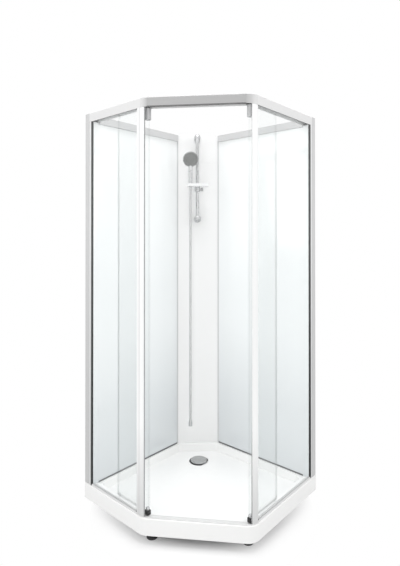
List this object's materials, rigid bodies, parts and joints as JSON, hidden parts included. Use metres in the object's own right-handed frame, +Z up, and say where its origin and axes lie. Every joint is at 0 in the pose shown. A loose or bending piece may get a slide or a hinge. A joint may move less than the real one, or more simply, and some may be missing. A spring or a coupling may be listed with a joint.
{
  "type": "shower enclosure",
  "caption": "Five-sided corner shower cabin with tray, white back walls, clear side panes, a cut-off front with two folding sliding glass doors and a hand shower on a riser rail.",
  "frame": {"origin": "on the floor under the middle of the 900 mm square that the five-sided tray is cut from", "axes": "+Z up; -Y is the outward face of the left side pane, +X the outward face of the right side pane, the back walls face +Y and -X, and the cut front with the doors looks towards +X -Y"},
  "size_m": [0.9, 0.9, 2.1],
  "materials": {
    "tray_acrylic": "white gloss acrylic",
    "frame_steel": "powder coated dark grey",
    "zinc_steel": "zinc plated",
    "foot_plastic": "black nylon",
    "waste_plastic": "white polypropylene",
    "chrome_trim": "polished chrome",
    "chrome_plastic": "chrome plated ABS",
    "cover_steel": "satin steel",
    "black_rubber": "matt black",
    "white_glass": "white back-painted glass",
    "clear_glass": "clear toughened glass",
    "matt_aluminium": "silver matt anodised",
    "white_column": "white gloss sheet",
    "grey_trim": "light grey",
    "seal_grey": "dark grey",
    "clear_seal": "clear vinyl",
    "silver_block": "silver grey",
    "black_block": "black nylon",
    "glider_nylon": "black acetal",
    "hose_metal": "silver PVC hose with a spiral",
    "spray_grey": "grey silicone and plastic",
    "shelf_white": "white gloss",
    "black_plastic": "black"
  },
  "bodies": {
    "enclosure": {"shower_tray": "tray_acrylic", "tray_frame": "frame_steel", "foot_studs": "zinc_steel", "foot_pads": "foot_plastic", "waste_flange": "chrome_plastic", "waste_gasket": "black_rubber", "waste_body": "waste_plastic", "waste_dip_tube": "waste_plastic", "left_back_panel": "white_glass", "right_back_panel": "white_glass", "back_top_profiles": "matt_aluminium", "back_panel_seals": "seal_grey", "column_edge_trims": "grey_trim", "corner_column": "white_column", "column_top_cover": "white_column", "left_side_glass": "clear_glass", "right_side_glass": "clear_glass", "left_wall_profile": "matt_aluminium", "right_wall_profile": "matt_aluminium", "left_glass_profile": "matt_aluminium", "right_glass_profile": "matt_aluminium", "left_corner_profile": "matt_aluminium", "right_corner_profile": "matt_aluminium", "glass_gaskets": "black_rubber", "corner_seals": "seal_grey", "corner_clips": "black_plastic", "left_rail": "matt_aluminium", "right_rail": "matt_aluminium", "front_rail": "matt_aluminium", "rail_corners": "matt_aluminium", "door_track": "black_plastic", "left_sill": "matt_aluminium", "right_sill": "matt_aluminium", "front_sill": "matt_aluminium", "riser_rail": "chrome_trim", "riser_fixings": "chrome_plastic"},
    "drain_cover": {"drain_cover": "cover_steel"},
    "rail_slider": {"rail_slider": "chrome_plastic", "soap_shelf": "shelf_white"},
    "clamp_knob": {"slider_clamp_knob": "chrome_plastic"},
    "hand_shower": {"hand_shower": "chrome_plastic", "spray_face": "spray_grey", "shower_hose": "hose_metal", "hose_nuts": "chrome_trim"},
    "left_glider": {"left_glider": "glider_nylon"},
    "left_door": {"left_door_glass": "clear_glass", "left_door_seals": "clear_seal", "left_door_top_block": "silver_block", "left_door_bottom_block": "black_block", "left_door_guides": "clear_seal"},
    "left_knob": {"left_release_knob": "chrome_plastic"},
    "right_glider": {"right_glider": "glider_nylon"},
    "right_door": {"right_door_glass": "clear_glass", "right_door_seals": "clear_seal", "right_door_top_block": "silver_block", "right_door_bottom_block": "black_block", "right_door_guides": "clear_seal"},
    "right_knob": {"right_release_knob": "chrome_plastic"}
  },
  "joints": [
    {"name": "left_door_slide", "type": "slide", "parent": "enclosure", "child": "left_glider", "axis": [0.82, 0.5723, 0], "range_m": [0, 0.22769]},
    {"name": "left_door_swing", "type": "hinge", "parent": "left_glider", "child": "left_door", "pos_m": [0.01779, -0.411, 2.04], "axis": [0, 0, 1], "range_deg": [0, 34.96]},
    {"name": "left_release", "type": "slide", "parent": "left_door", "child": "left_knob", "axis": [0, 0, -1], "range_m": [0, 0.005], "stiffness_N_per_m": 400, "springref_m": -0.003},
    {"name": "right_door_slide", "type": "slide", "parent": "enclosure", "child": "right_glider", "axis": [-0.82, -0.5723, 0], "range_m": [0, 0.22769]},
    {"name": "right_door_swing", "type": "hinge", "parent": "right_glider", "child": "right_door", "pos_m": [0.415, -0.13379, 2.04], "axis": [0, 0, 1], "range_deg": [-55.14, 0]},
    {"name": "right_release", "type": "slide", "parent": "right_door", "child": "right_knob", "axis": [0, 0, -1], "range_m": [0, 0.005], "stiffness_N_per_m": 400, "springref_m": -0.003},
    {"name": "drain_cover_lift", "type": "slide", "parent": "enclosure", "child": "drain_cover", "axis": [0, 0, 1], "range_m": [0, 0.05]},
    {"name": "rail_slide", "type": "slide", "parent": "enclosure", "child": "rail_slider", "axis": [0, 0, 1], "range_m": [-0.14, 0.25]},
    {"name": "clamp_turn", "type": "hinge", "parent": "rail_slider", "child": "clamp_knob", "pos_m": [-0.24942, 0.2777, 1.736], "axis": [0.7071, 0.7071, 0], "range_deg": [0, 180]},
    {"name": "hand_shower_lift", "type": "slide", "parent": "rail_slider", "child": "hand_shower", "axis": [0, 0, 1], "range_m": [0, 0.06]}
  ],
  "couplings": [
    {"joint": "left_door_swing", "follows": "left_door_slide", "rad_per_m": 2.676},
    {"joint": "right_door_swing", "follows": "right_door_slide", "rad_per_m": -4.2228}
  ]
}
